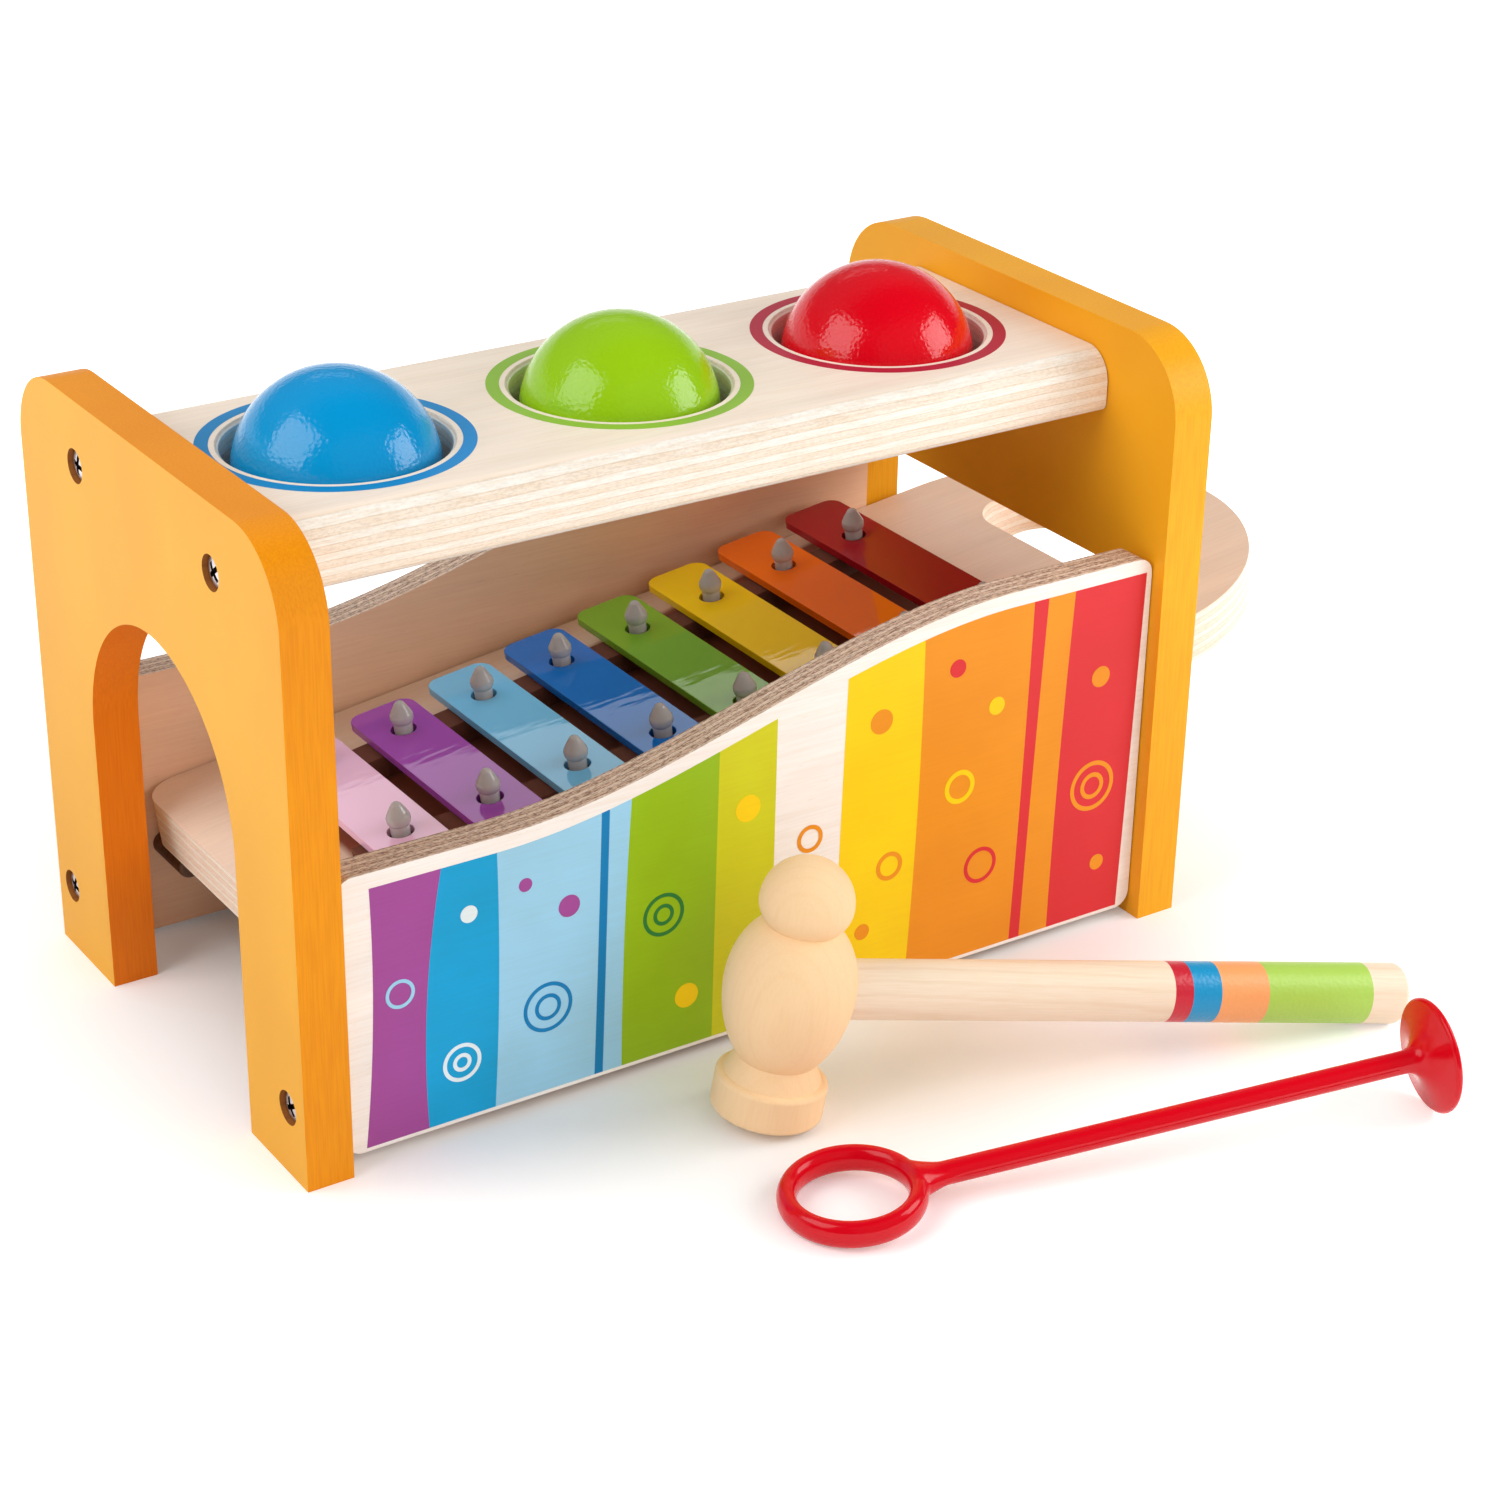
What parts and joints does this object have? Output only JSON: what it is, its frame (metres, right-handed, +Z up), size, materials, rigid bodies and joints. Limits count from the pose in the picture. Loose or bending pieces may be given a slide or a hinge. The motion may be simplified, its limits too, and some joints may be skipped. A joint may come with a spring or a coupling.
{
  "type": "xylophone pounding bench",
  "caption": "Wooden toddler's pounding bench: balls are hammered through a board onto a sloping xylophone that slides out, with a hammer and a ring-handled beater.",
  "frame": {"origin": "middle of the lowest face of the box round the whole set, bench, hammer and beater together, on the floor", "axes": "+X along the bench towards the xylophone's pull end, -Y towards the printed front panel, +Z up"},
  "size_m": [0.2884, 0.239, 0.1519],
  "materials": {
    "yellow_paint": "satin warm yellow-orange paint on wood",
    "birch_plywood": "clear-lacquered birch plywood, satin",
    "turned_beech": "turned pale wood, satin",
    "blue_lacquer": "gloss blue lacquer on wood",
    "green_lacquer": "gloss green lacquer on wood",
    "red_lacquer": "gloss red lacquer on wood",
    "soft_ring": "soft dark rubber",
    "screw_steel": "zinc-plated steel",
    "peg_wood": "dark-stained wood",
    "rail_felt": "dark felt",
    "post_plastic": "grey translucent plastic",
    "red_plastic": "gloss red moulded plastic",
    "key_pink": "gloss enamel on steel",
    "key_purple": "gloss enamel on steel",
    "key_sky_blue": "gloss enamel on steel",
    "key_blue": "gloss enamel on steel",
    "key_green": "gloss enamel on steel",
    "key_yellow": "gloss enamel on steel",
    "key_orange": "gloss enamel on steel",
    "key_red": "gloss enamel on steel"
  },
  "bodies": {
    "bench": {"left_side_panel": "yellow_paint", "right_side_panel": "yellow_paint", "pounding_board": "birch_plywood", "front_panel": "birch_plywood", "back_panel": "birch_plywood", "screw_left_front_upper": "screw_steel", "screw_left_front_lower": "screw_steel", "dowel_left_front": "turned_beech", "screw_left_back_upper": "screw_steel", "screw_left_back_lower": "screw_steel", "dowel_left_back": "turned_beech", "screw_right_front_upper": "screw_steel", "screw_right_front_lower": "screw_steel", "dowel_right_front": "turned_beech", "screw_right_back_upper": "screw_steel", "screw_right_back_lower": "screw_steel", "dowel_right_back": "turned_beech", "support_peg_front": "peg_wood", "support_peg_back": "peg_wood", "ball_ring_blue": "soft_ring", "ball_ring_green": "soft_ring", "ball_ring_red": "soft_ring"},
    "ball_blue": {"ball_blue": "blue_lacquer"},
    "ball_green": {"ball_green": "green_lacquer"},
    "ball_red": {"ball_red": "red_lacquer"},
    "xylophone": {"xylophone_board": "birch_plywood", "key_rail_front": "rail_felt", "key_rail_back": "rail_felt", "key_pink": "key_pink", "key_post_pink_front": "post_plastic", "key_post_pink_back": "post_plastic", "key_purple": "key_purple", "key_post_purple_front": "post_plastic", "key_post_purple_back": "post_plastic", "key_sky_blue": "key_sky_blue", "key_post_sky_blue_front": "post_plastic", "key_post_sky_blue_back": "post_plastic", "key_blue": "key_blue", "key_post_blue_front": "post_plastic", "key_post_blue_back": "post_plastic", "key_green": "key_green", "key_post_green_front": "post_plastic", "key_post_green_back": "post_plastic", "key_yellow": "key_yellow", "key_post_yellow_front": "post_plastic", "key_post_yellow_back": "post_plastic", "key_orange": "key_orange", "key_post_orange_front": "post_plastic", "key_post_orange_back": "post_plastic", "key_red": "key_red", "key_post_red_front": "post_plastic", "key_post_red_back": "post_plastic"},
    "hammer": {"hammer_head": "turned_beech", "hammer_handle": "turned_beech"},
    "beater": {"beater": "red_plastic"}
  },
  "joints": [
    {"name": "ball_blue_drop", "type": "slide", "parent": "bench", "child": "ball_blue", "axis": [0, 0, 1], "range_m": [-0.0537, 0.04], "deforming": ["ball_ring_blue"]},
    {"name": "ball_green_drop", "type": "slide", "parent": "bench", "child": "ball_green", "axis": [0, 0, 1], "range_m": [-0.0443, 0.04], "deforming": ["ball_ring_green"]},
    {"name": "ball_red_drop", "type": "slide", "parent": "bench", "child": "ball_red", "axis": [0, 0, 1], "range_m": [-0.0347, 0.04], "deforming": ["ball_ring_red"]},
    {"name": "xylophone_slide", "type": "slide", "parent": "bench", "child": "xylophone", "axis": [0.9907, 0, 0.1357], "range_m": [-0.0055, 0.22]},
    {"name": "hammer_lift", "type": "slide", "parent": "bench", "child": "hammer", "axis": [0, 0, 1], "range_m": [0, 0.1]},
    {"name": "beater_lift", "type": "slide", "parent": "bench", "child": "beater", "axis": [0, 0, 1], "range_m": [0, 0.1]}
  ]
}
